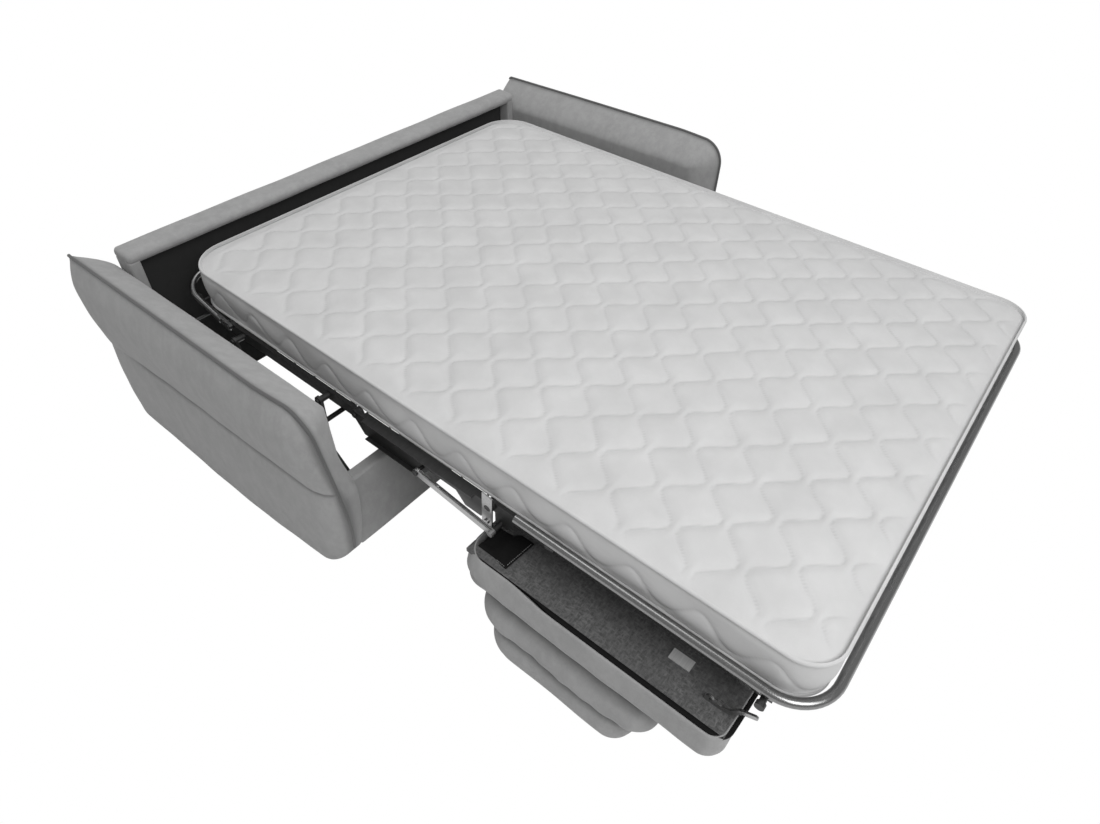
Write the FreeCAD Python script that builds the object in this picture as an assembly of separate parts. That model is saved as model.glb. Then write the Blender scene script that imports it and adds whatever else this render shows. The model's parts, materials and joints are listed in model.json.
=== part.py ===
import FreeCAD, Part
import math
import os

# Sleeper sofa with a fold-out bed, drawn with the bed open. Millimetres, +Z up.
# X runs across the sofa, and the bed opens towards -Y. A place along the depth is
# given as s, the distance forward from the rear face of the back rail.

# Mattress
MATTRESS_WIDTH = 1400.0
MATTRESS_LENGTH = 1952.0
MATTRESS_THICKNESS = 130.0
MATTRESS_TOP = 565.0
MATTRESS_REAR = 148.0
MATTRESS_CORNER = 115.0
MATTRESS_FOOT_CORNER = 80.0
MATTRESS_EDGE = 8.0

# Fold: three hinge lines across the bed, and how far each pair of sections turns
HINGE_Z = 430.0
HEAD_HINGE = 345.0
MID_HINGE = 888.0
FOOT_HINGE = 1340.0
HEAD_TURN = 90.0
MID_TURN = 48.0
FOOT_TURN = 132.0
FOLD_CLEARANCE = 3.0

# Swing arms that carry the bed out of the base
ARM_LENGTH = 320.5
ARM_LEAN = 110.0
ARM_TOP_Z = 420.0
FRONT_ARM_TOP = 770.0
REAR_ARM_TOP = 400.0

# Base
BASE_HALF = 817.0
BASE_BOTTOM = 14.0
BACK_DEPTH = 80.0
BACK_TOP = 592.0
BACK_ROLL_BOTTOM = 556.0
BACK_POST_WIDTH = 34.0
FRONT_FACE = 930.0
FRONT_TOP = 275.0
ARM_BOARD = 16.0
ARM_REAR = -30.0
PIPING_X = 917.0
ARM_FOOT_X = 852.0

# Bed frame: three flat layers of steel side by side, outwards from the mattress
LAYER_ONE = (702.0, 712.0)
LAYER_TWO = (713.0, 723.0)
LAYER_THREE = (738.0, 746.0)
PIN_RADIUS = 5.0
PIN_CLEARANCE = 0.05
WIRE = 4.0
FOOT_TUBE_RADIUS = 11.0
FOOT_TUBE_Z = 456.0
FOOT_TUBE_END = 2118.0
HEAD_TUBE_RADIUS = 9.0
HEAD_TUBE_REAR = 128.0
CROSS_TUBE = (742.0, 314.0)
LINK_START = (1130.0, 412.0)
LINK_END = (1367.0, 381.0)
LINK_FLATS = ((738.0, 741.5), (744.0, 747.5))

# Seat and back cushions, folded away under the foot of the bed
SEAT_REAR = 2003.0
SEAT_FRONT = 1310.0
SEAT_HALF = 800.0
SEAT_BOARD_TOP = 330.0
SEAT_BOARD = 12.0
SEAT_PAD_BOTTOM = 215.0
BACK_PAD_TOP = 198.0
BACK_PAD_CREASE = 112.0
BACK_PAD_BOTTOM = 26.0
BACK_HINGE = (1870.0, 205.0)
GLIDE_HEIGHT = 12.0
LINK_DROP = 79.0
LINK_REACH = 45.6
LINK_PIVOT_Z = 418.0
LINK_LAYER = (622.0, 630.0)
LINK_PIVOTS = (1460.0, 1935.0)
NOTCH = (692.0, 757.0, SEAT_FRONT - 10.0, 1388.0, 290.0)

REAR_Y = (FOOT_TUBE_END + FOOT_TUBE_RADIUS + ARM_REAR) / 2.0
SIDES = (("left", -1), ("right", 1))

os.makedirs("parts", exist_ok=True)


def point(x, s, z):
    """A point from its place across, its distance forward and its height."""
    return FreeCAD.Vector(x, REAR_Y - s, z)


def save(name, shape):
    """Writes one node."""
    shape.exportStep("parts/" + name + ".step")


def box(x0, x1, s0, s1, z0, z1):
    """A block between two corners."""
    low_x, high_x = sorted((x0, x1))
    return Part.makeBox(high_x - low_x, s1 - s0, z1 - z0, point(low_x, s1, z0))


def rod(x0, x1, s, z, radius):
    """A round bar across the sofa."""
    low, high = sorted((x0, x1))
    return Part.makeCylinder(radius, high - low, point(low, s, z), FreeCAD.Vector(1, 0, 0))


def plate(side, layer, outline):
    """A flat outline of (s, z) corners with a thickness across the sofa."""
    low, high = sorted((side * layer[0], side * layer[1]))
    corners = [point(low, s, z) for s, z in outline]
    face = Part.Face(Part.makePolygon(corners + corners[:1]))
    return face.extrude(FreeCAD.Vector(high - low, 0, 0))


def strap(side, layer, start, end, width):
    """A flat steel strap with round ends between two pivots."""
    length = math.hypot(end[0] - start[0], end[1] - start[1])
    across_s = -(end[1] - start[1]) / length * width / 2.0
    across_z = (end[0] - start[0]) / length * width / 2.0
    outline = [
        (start[0] + across_s, start[1] + across_z),
        (end[0] + across_s, end[1] + across_z),
        (end[0] - across_s, end[1] - across_z),
        (start[0] - across_s, start[1] - across_z),
    ]
    ends = [eye(side, layer, place, width / 2.0) for place in (start, end)]
    return plate(side, layer, outline).multiFuse(ends).removeSplitter()


def eye(side, layer, place, radius):
    """A round disc across one layer, about a pivot."""
    return rod(side * layer[0], side * layer[1], place[0], place[1], radius)


def pin(side, inner, outer, place):
    """A pivot pin with a head on its outer end."""
    shank = rod(side * inner, side * outer, place[0], place[1], PIN_RADIUS)
    head = rod(side * outer, side * (outer + 3.0), place[0], place[1], PIN_RADIUS + 3.0)
    return shank.fuse(head)


def drill(shape, side, layer, place):
    """Cuts a running hole for a pin."""
    hole = rod(side * (layer[0] - 20.0), side * (layer[1] + 20.0), place[0], place[1],
               PIN_RADIUS + PIN_CLEARANCE)
    return shape.cut(hole)


def pair(build):
    """Makes the left and right nodes of a mirrored piece."""
    for name, side in SIDES:
        save(name + "_" + build.__name__, build(side))


def group(build):
    """Joins the left and right copies of a piece in one shape."""
    return Part.makeCompound([build(side) for _, side in SIDES])


def rounded_outline(half_width, s0, s1, z, rear_radius, front_radius):
    """A rectangle with arcs at its four corners, at one height."""
    bend = 1.0 - math.sqrt(0.5)
    corners = [
        (-half_width, s0, 1, 1, rear_radius),
        (half_width, s0, -1, 1, rear_radius),
        (half_width, s1, -1, -1, front_radius),
        (-half_width, s1, 1, -1, front_radius),
    ]
    edges = []
    joints = []
    for index, (x, s, in_x, in_s, radius) in enumerate(corners):
        along_s = point(x, s + in_s * radius, z)
        along_x = point(x + in_x * radius, s, z)
        middle = point(x + in_x * radius * bend, s + in_s * radius * bend, z)
        first, last = (along_s, along_x) if index % 2 == 0 else (along_x, along_s)
        joints.append((first, last))
        edges.append((first, middle, last))
    wire = []
    for index, (first, middle, last) in enumerate(edges):
        wire.append(Part.Arc(first, middle, last).toShape())
        wire.append(Part.makeLine(last, joints[(index + 1) % 4][0]))
    return Part.Wire(wire)


def cushion(half_width, s0, s1, levels, radius, front_radius=None):
    """A pad lofted through rounded outlines, each drawn in by its own amount."""
    front = radius if front_radius is None else front_radius
    wires = [
        rounded_outline(half_width - inset, s0 + inset, s1 - inset, z, radius, front)
        for z, inset in levels
    ]
    return Part.makeLoft(wires, True, True)


def bent_tube(half_width, run, corner, radius):
    """A U of tube lying flat: two side runs joined by a cross run, open towards +Y at 0."""
    bend = corner * (1.0 - math.sqrt(0.5))
    start = FreeCAD.Vector(-half_width, 0, 0)
    turn = FreeCAD.Vector(-half_width, -(run - corner), 0)
    arc_mid = FreeCAD.Vector(-half_width + bend, -(run - bend), 0)
    across = FreeCAD.Vector(-half_width + corner, -run, 0)
    mirror = [FreeCAD.Vector(-p.x, p.y, 0) for p in (across, arc_mid, turn, start)]
    path = Part.Wire([
        Part.makeLine(start, turn),
        Part.Arc(turn, arc_mid, across).toShape(),
        Part.makeLine(across, mirror[0]),
        Part.Arc(mirror[0], mirror[1], mirror[2]).toShape(),
        Part.makeLine(mirror[2], mirror[3]),
    ])
    ring = Part.Wire([Part.makeCircle(radius, start, FreeCAD.Vector(0, 1, 0))])
    return path.makePipeShell([ring], True, False)


def wire_net(s0, s1, columns, rows, half=LAYER_ONE[0]):
    """A welded flat net, as one face with a hole for each gap."""
    bottom = MATTRESS_TOP - MATTRESS_THICKNESS - WIRE
    pitch_x = half * 2.0 / columns
    pitch_s = (s1 - s0 - WIRE) / rows
    face = Part.Face(net_outline(-half, half, s0, s1, bottom))
    gaps = []
    for column in range(columns):
        x = -half + pitch_x * column
        for row in range(rows):
            s = s0 + WIRE + pitch_s * row
            gap = net_outline(x + WIRE / 2, x + pitch_x - WIRE / 2, s, s + pitch_s - WIRE, bottom)
            gaps.append(Part.Face(gap))
    return face.cut(Part.makeCompound(gaps)).extrude(FreeCAD.Vector(0, 0, WIRE))


def net_outline(x0, x1, s0, s1, z):
    """A flat rectangle."""
    corners = [point(x0, s0, z), point(x1, s0, z), point(x1, s1, z), point(x0, s1, z)]
    return Part.makePolygon(corners + corners[:1])


# Base

def arm_board(side):
    """The stiff inner panel of an arm."""
    outline = [(4.0, 14.0), (900.0, 14.0), (925.0, 60.0), (925.0, 470.0), (880.0, 530.0), (4.0, 530.0)]
    return plate(side, (BASE_HALF, BASE_HALF + ARM_BOARD), outline)


def arm_section(side, s, bottom, top, pinch):
    """One slice of the arm pad; pinch runs from 0, full, to 1, drawn in to the piping."""
    inner = BASE_HALF + ARM_BOARD
    crease = bottom + (top - bottom) * 0.52

    def drawn(x, z):
        edge = ARM_FOOT_X + (PIPING_X - ARM_FOOT_X) * z / 600.0
        return point(side * (x + (edge - x) * pinch), s, z)

    inner_low = drawn(inner, bottom)
    inner_high = drawn(inner, top - 62.0 * (1.0 - pinch))
    piping = drawn(PIPING_X, top)
    upper = drawn(947.0, (top * 2 + crease) / 3.0)
    fold = drawn(924.0, crease)
    lower = drawn(933.0, (bottom + crease) / 2.0)
    outer_low = drawn(924.0, bottom)
    return Part.Wire([
        Part.makeLine(inner_low, inner_high),
        Part.makeLine(inner_high, piping),
        Part.Arc(piping, upper, fold).toShape(),
        Part.Arc(fold, lower, outer_low).toShape(),
        Part.makeLine(outer_low, inner_low),
    ])


def arm_pad(side):
    """The upholstered arm: an upper pillow over a lower one, drawn in at both ends."""
    slices = [
        (ARM_REAR, 40.0, 596.0, 0.86),
        (ARM_REAR + 36.0, BASE_BOTTOM, 604.0, 0.12),
        (300.0, BASE_BOTTOM, 612.0, 0.0),
        (760.0, BASE_BOTTOM, 622.0, 0.0),
        (895.0, BASE_BOTTOM, 624.0, 0.04),
        (938.0, 24.0, 620.0, 0.22),
        (966.0, 80.0, 606.0, 0.45),
        (986.0, 170.0, 574.0, 0.72),
        (998.0, 270.0, 480.0, 0.92),
    ]
    wires = [arm_section(side, *values) for values in slices]
    return Part.makeLoft(wires, True, True)


def side_rail(side):
    """A steel rail on the arm's inner face, with the pivot pins of the swing arms."""
    rail = box(side * (BASE_HALF - 8.0), side * BASE_HALF, 440.0, 893.0, 90.0, 150.0)
    parts = []
    for top in (FRONT_ARM_TOP, REAR_ARM_TOP):
        place = arm_foot(top)
        parts.append(rod(side * (LAYER_THREE[1] + 1.0), side * (BASE_HALF - 8.0), place[0], place[1], 11.0))
        parts.append(rod(side * (LAYER_THREE[0] - 4.0), side * (LAYER_THREE[1] + 1.0),
                         place[0], place[1], PIN_RADIUS))
    return rail.multiFuse(parts)


def build_base():
    inner_half = BASE_HALF - BACK_POST_WIDTH
    save("back_top_roll", rounded_roll())
    save("back_end_posts", group(lambda side: box(side * inner_half, side * BASE_HALF, 0.0, BACK_DEPTH,
                                                  BASE_BOTTOM, BACK_ROLL_BOTTOM)))
    save("back_board", box(-inner_half, inner_half, 10.0, 32.0, BASE_BOTTOM, BACK_ROLL_BOTTOM))
    save("back_outer_cover", box(-inner_half, inner_half, 0.0, 10.0, BASE_BOTTOM, BACK_ROLL_BOTTOM))
    save("back_inner_lining", box(-inner_half, inner_half, 32.0, 40.0, BASE_BOTTOM, BACK_ROLL_BOTTOM))
    save("front_board", box(-BASE_HALF, BASE_HALF, 895.0, 912.0, BASE_BOTTOM, FRONT_TOP - 6.0))
    save("front_pad", front_pad())
    pair(arm_board)
    pair(arm_pad)
    pair(side_rail)
    save("base_feet", Part.makeCompound([
        Part.makeCylinder(18.0, BASE_BOTTOM, point(x, s, 0.0))
        for x, s in ((-878, 60), (878, 60), (-878, 820), (878, 820), (0, 22), (0, 912))
    ]))


def rounded_roll():
    """The padded top of the back, round on both upper edges."""
    radius = 17.0
    bend = radius * (1.0 - math.sqrt(0.5))
    x = -BASE_HALF
    top = BACK_TOP
    low_rear = point(x, 0.0, BACK_ROLL_BOTTOM)
    high_rear = point(x, 0.0, top - radius)
    top_rear = point(x, radius, top)
    top_front = point(x, BACK_DEPTH - radius, top)
    high_front = point(x, BACK_DEPTH, top - radius)
    low_front = point(x, BACK_DEPTH, BACK_ROLL_BOTTOM)
    outline = Part.Wire([
        Part.makeLine(low_rear, high_rear),
        Part.Arc(high_rear, point(x, bend, top - bend), top_rear).toShape(),
        Part.makeLine(top_rear, top_front),
        Part.Arc(top_front, point(x, BACK_DEPTH - bend, top - bend), high_front).toShape(),
        Part.makeLine(high_front, low_front),
        Part.makeLine(low_front, low_rear),
    ])
    return Part.Face(outline).extrude(FreeCAD.Vector(BASE_HALF * 2, 0, 0))


def front_pad():
    """The front rail's cover: a crowned face over the front and a lip over the board's top."""
    face = plate(1, (-BASE_HALF, BASE_HALF), [
        (912.0, BASE_BOTTOM), (926.0, BASE_BOTTOM), (FRONT_FACE, BASE_BOTTOM + 14.0),
        (FRONT_FACE, FRONT_TOP - 14.0), (924.0, FRONT_TOP), (897.0, FRONT_TOP),
        (897.0, FRONT_TOP - 6.0), (912.0, FRONT_TOP - 6.0),
    ])
    return face


# Swing arms

def arm_foot(top):
    """The lower pivot of a swing arm, from its upper one."""
    lean = math.radians(ARM_LEAN)
    return (top - ARM_LENGTH * math.cos(lean), ARM_TOP_Z - ARM_LENGTH * math.sin(lean))


def front_swing_arm(side):
    """A cranked arm, bent backwards at its elbow."""
    top = (FRONT_ARM_TOP, ARM_TOP_Z)
    elbow = (762.0, 240.0)
    foot = arm_foot(FRONT_ARM_TOP)
    upper = strap(side, LAYER_THREE, top, elbow, 26.0)
    arm = upper.fuse(strap(side, LAYER_THREE, elbow, foot, 24.0))
    boss = strap(side, LAYER_THREE, (765.0, 318.0), CROSS_TUBE, 18.0)
    arm = arm.fuse(boss).removeSplitter()
    return drill(drill(arm, side, LAYER_THREE, top), side, LAYER_THREE, foot)


def rear_swing_arm(side):
    """A straight arm, parallel to the line between the front arm's pivots."""
    top = (REAR_ARM_TOP, ARM_TOP_Z)
    foot = arm_foot(REAR_ARM_TOP)
    arm = strap(side, LAYER_THREE, top, foot, 24.0)
    return drill(drill(arm, side, LAYER_THREE, top), side, LAYER_THREE, foot)


def build_swing_arms():
    pair(front_swing_arm)
    pair(rear_swing_arm)
    save("swing_cross_tube", rod(-LAYER_THREE[0], LAYER_THREE[0], CROSS_TUBE[0], CROSS_TUBE[1], 7.0))


# Mattress

def whole_mattress():
    """The mattress in one piece, with its top and bottom edges drawn in."""
    bottom = MATTRESS_TOP - MATTRESS_THICKNESS
    levels = [
        (bottom, MATTRESS_EDGE),
        (bottom + 12.0, 0.0),
        (MATTRESS_TOP - 12.0, 0.0),
        (MATTRESS_TOP, MATTRESS_EDGE),
    ]
    return cushion(MATTRESS_WIDTH / 2, MATTRESS_REAR, MATTRESS_REAR + MATTRESS_LENGTH, levels,
                   MATTRESS_CORNER, MATTRESS_FOOT_CORNER)


def fold_half(turn):
    """How far the fold reaches each way at the mattress's top."""
    return (MATTRESS_TOP - HINGE_Z) * math.tan(math.radians(turn / 2.0))


def fold_wedge(hinge, turn, gap):
    """The wedge of foam over a hinge, which crushes as the two sections fold."""
    above = MATTRESS_TOP + 5.0
    reach = fold_half(turn) * (above - HINGE_Z) / (MATTRESS_TOP - HINGE_Z)
    return plate(1, (-MATTRESS_WIDTH, MATTRESS_WIDTH), [
        (hinge - gap, HINGE_Z), (hinge + gap, HINGE_Z),
        (hinge + reach + gap, above), (hinge - reach - gap, above),
    ])


def slab(s0, s1):
    """Everything between two distances forward."""
    return box(-MATTRESS_WIDTH, MATTRESS_WIDTH, s0, s1, 400.0, 600.0)


def build_mattress():
    mattress = whole_mattress()
    folds = [
        ("mattress_head_fold", HEAD_HINGE, HEAD_TURN),
        ("mattress_middle_fold", MID_HINGE, MID_TURN),
        ("mattress_foot_fold", FOOT_HINGE, FOOT_TURN),
    ]
    wedges = [fold_wedge(hinge, turn, FOLD_CLEARANCE) for _, hinge, turn in folds]
    stops = [MATTRESS_REAR - 50.0, HEAD_HINGE, MID_HINGE, FOOT_HINGE, MATTRESS_REAR + MATTRESS_LENGTH + 50.0]
    blocks = ("mattress_head_block", "mattress_rear_block", "mattress_middle_block", "mattress_foot_block")
    for name, s0, s1 in zip(blocks, stops[:-1], stops[1:]):
        save(name, mattress.common(slab(s0, s1)).cut(wedges[0]).cut(wedges[1]).cut(wedges[2]))
    for (name, _, _), wedge in zip(folds, wedges):
        save(name, mattress.common(wedge))


# Bed frame

def rear_side_bar(side):
    """The rear section's bar, with the pins of both its hinges and of the swing arms."""
    bar = strap(side, LAYER_ONE, (HEAD_HINGE, HINGE_Z - 11.0), (MID_HINGE, HINGE_Z - 11.0), 34.0)
    ears = [eye(side, LAYER_ONE, (s, HINGE_Z), 13.0) for s in (HEAD_HINGE, MID_HINGE)]
    hinge_pins = [pin(side, LAYER_ONE[0], LAYER_TWO[1] + 1.0, (s, HINGE_Z)) for s in (HEAD_HINGE, MID_HINGE)]
    arm_pins = []
    for s in (FRONT_ARM_TOP, REAR_ARM_TOP):
        arm_pins.append(rod(side * LAYER_ONE[1], side * (LAYER_THREE[0] - 1.0), s, ARM_TOP_Z, 9.0))
        arm_pins.append(pin(side, LAYER_ONE[0], LAYER_THREE[1] + 1.0, (s, ARM_TOP_Z)))
    return bar.multiFuse(ears + hinge_pins + arm_pins)


def middle_channel(side):
    """The middle section's deep channel, notched where it passes the front rail when folded."""
    web = plate(side, LAYER_TWO, [
        (MID_HINGE, 416.0), (915.0, 378.0), (1120.0, 378.0), (1150.0, 411.0), (1238.0, 411.0),
        (1266.0, 378.0), (1316.0, 378.0), (FOOT_HINGE, 416.0),
        (FOOT_HINGE, HINGE_Z + 13.0), (MID_HINGE, HINGE_Z + 13.0),
    ])
    ends = [eye(side, LAYER_TWO, (s, HINGE_Z), 13.5) for s in (MID_HINGE, FOOT_HINGE)]
    lips = [
        box(side * LAYER_TWO[1], side * (LAYER_TWO[1] + 12.0), s0, s1, z, z + 3.0)
        for s0, s1, z in ((930.0, 1118.0, 378.0), (930.0, 1300.0, HINGE_Z + 10.0))
    ]
    lips.append(box(side * LAYER_ONE[0], side * LAYER_TWO[0], 912.0, 1312.0, HINGE_Z + 5.0, HINGE_Z + 8.0))
    link_pin = pin(side, LAYER_TWO[0], LINK_FLATS[1][1] + 1.0, LINK_START)
    shape = web.multiFuse(ends + lips + [link_pin])
    for s in (MID_HINGE, FOOT_HINGE):
        shape = drill(shape, side, LAYER_TWO, (s, HINGE_Z))
    return shape


def hinge_plate(side):
    """The upright steel plate over the foot hinge, with a bolt below it."""
    layer = (LAYER_TWO[1], LAYER_TWO[1] + 4.0)
    upright = plate(side, layer, [
        (1322.0, 366.0), (1352.0, 366.0), (1356.0, 470.0), (1326.0, 476.0),
    ])
    clear = eye(side, (layer[0] - 5.0, layer[1] + 5.0), (FOOT_HINGE, HINGE_Z), PIN_RADIUS + 4.0)
    bolt = eye(side, (layer[1], layer[1] + 4.0), (1337.0, 380.0), 7.0)
    return upright.cut(clear).fuse(bolt)


def fold_link(side):
    """The bright double strap that ties the middle section to the foot section."""
    flats = [strap(side, flat, LINK_START, LINK_END, 18.0) for flat in LINK_FLATS]
    spacers = [
        eye(side, (LINK_FLATS[0][1], LINK_FLATS[1][0]), place, 8.0)
        for place in (LINK_START, (1195.0, 403.5), LINK_END)
    ]
    rivet = eye(side, (LINK_FLATS[1][1], LINK_FLATS[1][1] + 4.0), LINK_END, 8.0)
    link = flats[0].multiFuse([flats[1]] + spacers + [rivet])
    return drill(link, side, LAYER_THREE, LINK_START)


def foot_side_rail(side):
    """The foot section's rail, with its hinge pin, its lug and the pins of the seat links."""
    rail = box(side * LAYER_ONE[0], side * LAYER_ONE[1], FOOT_HINGE, 2035.0, 410.0, 440.0)
    start = eye(side, LAYER_ONE, (FOOT_HINGE, HINGE_Z), 13.0)
    lug = plate(side, (LAYER_ONE[0], LAYER_ONE[1]), [
        (1350.0, 415.0), (1350.0, 373.0), (1386.0, 373.0), (1412.0, 415.0),
    ])
    pins = [
        pin(side, LAYER_ONE[0], LAYER_TWO[1] + 1.0, (FOOT_HINGE, HINGE_Z)),
        eye(side, (LAYER_ONE[1], LINK_FLATS[0][0] - 1.0), (2020.0, 436.0), 7.0),
        eye(side, (LINK_FLATS[0][0] - 1.0, LINK_FLATS[1][1]), (2020.0, 436.0), 10.0),
        eye(side, (LAYER_ONE[1], LAYER_THREE[0] - 1.0), LINK_END, 7.0),
        eye(side, (LAYER_ONE[1], LAYER_ONE[1] + 4.0), (1418.0, 424.0), 7.0),
    ]
    for s in LINK_PIVOTS:
        pins.append(rod(side * (LINK_LAYER[0] - 1.0), side * LAYER_ONE[0], s, LINK_PIVOT_Z, PIN_RADIUS))
    return rail.multiFuse([start, lug] + pins)


def foot_tube():
    """The bent tube round the foot of the bed, with the tabs that hold it to the rails."""
    tube = bent_tube(722.0, FOOT_TUBE_END - 1420.0, 100.0, FOOT_TUBE_RADIUS)
    tube.translate(point(0, 1420.0, FOOT_TUBE_Z))
    tabs = [
        box(side * LAYER_ONE[1], side * (LAYER_ONE[1] + 8.0), s, s + 24.0, 420.0, FOOT_TUBE_Z)
        for _, side in SIDES for s in (1500.0, 1968.0)
    ]
    return tube.multiFuse(tabs)


def head_tube():
    """The bent tube round the head, rising from the first hinge, and its hinge ears."""
    rise = 55.0
    start = 315.0
    tilt = math.degrees(math.atan2(rise, HEAD_HINGE - HEAD_TUBE_REAR))
    run = (start - HEAD_TUBE_REAR) / math.cos(math.radians(tilt))
    tube = bent_tube(720.0, run, 85.0, HEAD_TUBE_RADIUS)
    tube.rotate(FreeCAD.Vector(0, 0, 0), FreeCAD.Vector(0, 0, 1), 180.0)
    tube.rotate(FreeCAD.Vector(0, 0, 0), FreeCAD.Vector(1, 0, 0), tilt)
    tube.translate(point(0, start, HINGE_Z + (HEAD_HINGE - start) * math.tan(math.radians(tilt))))
    ears = [
        strap(side, LAYER_TWO, (HEAD_HINGE, HINGE_Z), (start - 12.0, HINGE_Z + 9.0), 22.0)
        for _, side in SIDES
    ]
    shape = tube.multiFuse(ears)
    for _, side in SIDES:
        shape = drill(shape, side, LAYER_TWO, (HEAD_HINGE, HINGE_Z))
    return shape


def head_strap(side):
    """A flat strap that carries the end of the net under the head, hung from the tube."""
    flat = box(side * LAYER_ONE[0], side * (LAYER_ONE[0] + 5.0), 176.0, 318.0, 416.0, 432.0)
    post = box(side * LAYER_ONE[0], side * (LAYER_ONE[0] + 10.0), 182.0, 198.0, 428.0, 462.0)
    stub = rod(side * LAYER_ONE[0], side * (LAYER_ONE[0] + 62.0), 240.0, 424.0, 4.0)
    return flat.multiFuse([post, stub])


def build_frame():
    pair(rear_side_bar)
    pair(middle_channel)
    pair(foot_side_rail)
    pair(fold_link)
    save("hinge_plates", group(hinge_plate))
    save("foot_tube", foot_tube())
    save("head_tube", head_tube())
    save("head_straps", group(head_strap))
    save("head_net", wire_net(178.0, 326.0, 14, 3))
    save("rear_net", wire_net(366.0, 868.0, 14, 6))
    save("middle_net", wire_net(908.0, 1320.0, 14, 5, LAYER_TWO[0]))
    save("foot_net", wire_net(1362.0, 2030.0, 14, 8))


# Seat and back

def seat_link(side, pivot):
    """A short link that hangs the seat from the foot section."""
    top = (pivot, LINK_PIVOT_Z)
    bottom = (pivot + LINK_REACH, LINK_PIVOT_Z - LINK_DROP)
    link = strap(side, LINK_LAYER, top, bottom, 16.0)
    return drill(drill(link, side, LINK_LAYER, top), side, LINK_LAYER, bottom)


def front_seat_link(side):
    """The link nearest the fold."""
    return seat_link(side, LINK_PIVOTS[0])


def rear_seat_link(side):
    """The link nearest the foot of the bed."""
    return seat_link(side, LINK_PIVOTS[1])


def seat_rail(side):
    """A steel strip on the seat board with a lug and a pin for each link."""
    inner = LINK_LAYER[0] - 6.0
    parts = [box(side * inner, side * (inner - 30.0), 1460.0, 2000.0, SEAT_BOARD_TOP, SEAT_BOARD_TOP + 3.0)]
    for pivot in LINK_PIVOTS:
        s = pivot + LINK_REACH
        z = LINK_PIVOT_Z - LINK_DROP
        parts.append(box(side * inner, side * (inner + 5.0), s - 14.0, s + 14.0, SEAT_BOARD_TOP, z + 10.0))
        parts.append(rod(side * (inner + 5.0), side * (LINK_LAYER[1] + 3.0), s, z, PIN_RADIUS))
    return parts[0].multiFuse(parts[1:])


def seat_hook(side):
    """A bent flat bar with a ring, standing on the seat board's rear corner."""
    layer = (738.0, 743.0)
    bends = [(1935.0, 340.0), (1962.0, 337.0), (1984.0, 346.0), (1998.0, 370.0), (2024.0, 384.0)]
    runs = [strap(side, layer, start, end, 11.0) for start, end in zip(bends[:-1], bends[1:])]
    ring = eye(side, layer, bends[0], 10.0).cut(eye(side, layer, bends[0], 4.0))
    runs[0] = runs[0].cut(eye(side, layer, bends[0], 4.0))
    foot = box(side * 730.0, side * 738.0, 1950.0, 1985.0, SEAT_BOARD_TOP, SEAT_BOARD_TOP + 8.0)
    return ring.multiFuse(runs + [foot])


def back_leaf(side):
    """The back cushion's half of the hinge."""
    leaf = strap(side, (305.0, 310.0), (1752.0, 45.0), BACK_HINGE, 26.0)
    leaf = leaf.fuse(box(side * 305.0, side * 310.0, 1700.0, 1765.0, BACK_PAD_BOTTOM, 44.0))
    return drill(leaf, side, (305.0, 310.0), BACK_HINGE)


def seat_leaf(side):
    """The seat's half of the hinge, with its pin."""
    leaf = strap(side, (298.0, 303.0), (1870.0, 300.0), BACK_HINGE, 26.0)
    leaf = leaf.fuse(box(side * 298.0, side * 303.0, 1857.0, 1883.0, 290.0, SEAT_BOARD_TOP - SEAT_BOARD))
    return leaf.fuse(pin(side, 298.0, 311.0, BACK_HINGE))


def hinge_slot(side):
    """The room that the two hinge leaves need inside the pads."""
    seat_room = box(side * 295.0, side * 318.0, 1850.0, 1890.0, 190.0, 320.0)
    back_room = plate(side, (295.0, 318.0), [
        (1690.0, 20.0), (1780.0, 20.0), (1892.0, 190.0), (1892.0, 215.0), (1840.0, 215.0), (1690.0, 60.0),
    ])
    return seat_room.fuse(back_room)


def seat_pad():
    """The seat cushion, crowned and drawn in at both faces."""
    board_bottom = SEAT_BOARD_TOP - SEAT_BOARD
    levels = [
        (SEAT_PAD_BOTTOM, 34.0), (SEAT_PAD_BOTTOM + 14.0, 10.0), (SEAT_PAD_BOTTOM + 45.0, 0.0),
        (board_bottom - 24.0, 0.0), (board_bottom, 10.0),
    ]
    pad = cushion(SEAT_HALF + 8.0, SEAT_FRONT, SEAT_REAR + 2.0, levels, 60.0)
    return cut_notches(cut_slots(pad))


def cut_notches(shape):
    """Cuts the room that the fold links need in the seat's front corners."""
    for _, side in SIDES:
        x0, x1, s0, s1, z0 = NOTCH
        shape = shape.cut(box(side * x0, side * x1, s0, s1, z0, SEAT_BOARD_TOP + 10.0))
    return shape


def corner_flap(side):
    """A cloth flap that lines a notch and lies on the board behind it."""
    x0, x1, _, s1, z0 = NOTCH
    floor = box(side * x0, side * x1, SEAT_FRONT + 22.0, s1, z0, z0 + 2.0)
    wall = box(side * x0, side * x1, s1 - 2.0, s1, z0, SEAT_BOARD_TOP + 2.0)
    top = box(side * 682.0, side * 772.0, s1, 1442.0, SEAT_BOARD_TOP, SEAT_BOARD_TOP + 2.0)
    return floor.multiFuse([wall, top])


def cut_slots(pad):
    """Cuts both hinge slots from a pad."""
    for _, side in SIDES:
        pad = pad.cut(hinge_slot(side))
    return pad


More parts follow.
